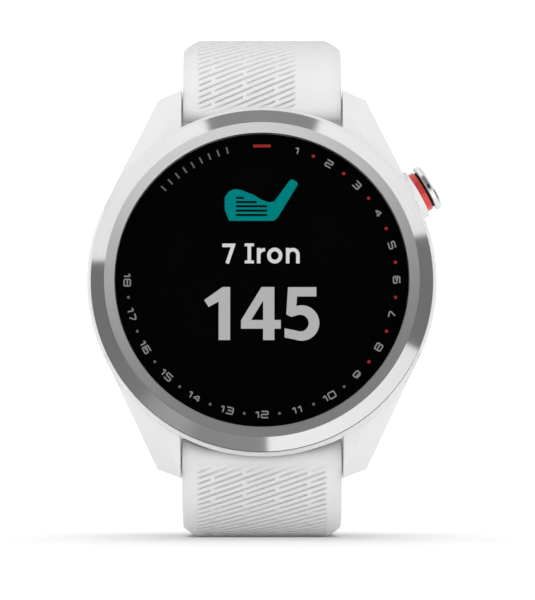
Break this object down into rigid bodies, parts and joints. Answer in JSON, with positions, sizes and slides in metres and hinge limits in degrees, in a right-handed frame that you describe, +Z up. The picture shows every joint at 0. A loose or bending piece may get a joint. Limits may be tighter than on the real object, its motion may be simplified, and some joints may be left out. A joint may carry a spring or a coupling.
{
  "type": "golf gps watch",
  "caption": "Round sports watch for golf: polymer body, steel bezel, flat black display with a numbered ring, side pusher, silicone strap halves on quick-release bars, pin buckle and keepers",
  "frame": {"origin": "middle of the flat stretch of the lower strap that the watch stands on, on its outer face", "axes": "+Z up, towards 12 on the dial; the dial faces -Y; +X towards 3 o'clock, the side of the pusher"},
  "size_m": [0.0442, 0.0804, 0.0636],
  "materials": {
    "case_polymer": "white, fine satin",
    "bezel_steel": "finely brushed",
    "glass": "polished",
    "black_film": "printed black",
    "display": "dark display",
    "diffuser": "milky",
    "dark_polymer": "matte",
    "flex_film": "polyimide film",
    "board_green": "solder mask",
    "steel": "fine satin",
    "polished_steel": "polished",
    "spring_steel": "drawn wire",
    "cell_foil": "foil pouch",
    "foam": "adhesive pad",
    "gold_contacts": "plated",
    "red_ring": "anodised red",
    "seal_rubber": "soft",
    "cover_grey": "fine texture",
    "strap_silicone": "white, soft satin"
  },
  "bodies": {
    "watch": {"case_middle": "case_polymer", "bezel": "bezel_steel", "lens": "glass", "lens_seal": "black_film", "number_ring": "black_film", "touch_panel": "display", "display_panel": "display", "light_guide": "diffuser", "display_tray": "dark_polymer", "display_flex": "flex_film", "inner_frame": "dark_polymer", "main_board": "board_green", "board_screws": "steel", "shield_can": "steel", "board_chips": "dark_polymer", "battery": "cell_foil", "battery_pad": "foam", "battery_lead": "flex_film", "vibration_motor": "steel", "antenna_film": "flex_film", "side_switch": "dark_polymer", "pusher_bush": "red_ring", "pusher_spring": "spring_steel", "back_seal": "seal_rubber", "back_cover": "cover_grey", "cover_screws": "steel", "charge_socket": "dark_polymer", "charge_pins": "gold_contacts", "charge_board": "board_green"},
    "pusher": {"pusher_cap": "polished_steel", "pusher_stem": "steel", "pusher_seals": "seal_rubber", "pusher_clip": "spring_steel"},
    "strap_top": {"upper_strap": "strap_silicone", "upper_bar": "steel", "upper_bar_spring": "spring_steel", "fixed_keeper": "strap_silicone", "buckle_bar": "steel"},
    "strap_bottom": {"lower_strap": "strap_silicone", "lower_bar": "steel", "lower_bar_spring": "spring_steel"},
    "release_top": {"upper_release": "steel"},
    "release_bottom": {"lower_release": "steel"},
    "keeper": {"loose_keeper": "strap_silicone"},
    "buckle": {"buckle_frame": "polished_steel"},
    "tongue": {"buckle_tongue": "polished_steel"}
  },
  "joints": [
    {"name": "pusher_press", "type": "slide", "parent": "watch", "child": "pusher", "axis": [-0.866, 0, -0.5], "range_m": [0, 0.00025], "stiffness_N_per_m": 2500, "springref_m": -0.0004, "deforming": ["pusher_spring"]},
    {"name": "upper_strap_swing", "type": "hinge", "parent": "watch", "child": "strap_top", "pos_m": [0, -0.0257, 0.0541], "axis": [1, 0, 0], "range_deg": [-10, 60]},
    {"name": "lower_strap_swing", "type": "hinge", "parent": "watch", "child": "strap_bottom", "pos_m": [0, -0.0257, 0.0095], "axis": [1, 0, 0], "range_deg": [-60, 8]},
    {"name": "buckle_swing", "type": "hinge", "parent": "strap_top", "child": "buckle", "pos_m": [0, 0.019, 0.0312], "axis": [1, 0, 0], "range_deg": [-60, 40]},
    {"name": "tongue_swing", "type": "hinge", "parent": "buckle", "child": "tongue", "pos_m": [0, 0.019, 0.0312], "axis": [1, 0, 0], "range_deg": [0, 60]},
    {"name": "keeper_slide", "type": "hinge", "parent": "strap_top", "child": "keeper", "pos_m": [0, -0.006, 0.0372], "axis": [1, 0, 0], "range_deg": [-6, 40]},
    {"name": "upper_release_slide", "type": "slide", "parent": "strap_top", "child": "release_top", "axis": [-1, 0, 0], "range_m": [0, 0.0013], "stiffness_N_per_m": 400, "springref_m": -0.001, "deforming": ["upper_bar_spring"]},
    {"name": "lower_release_slide", "type": "slide", "parent": "strap_bottom", "child": "release_bottom", "axis": [-1, 0, 0], "range_m": [0, 0.0013], "stiffness_N_per_m": 400, "springref_m": -0.001, "deforming": ["lower_bar_spring"]}
  ]
}
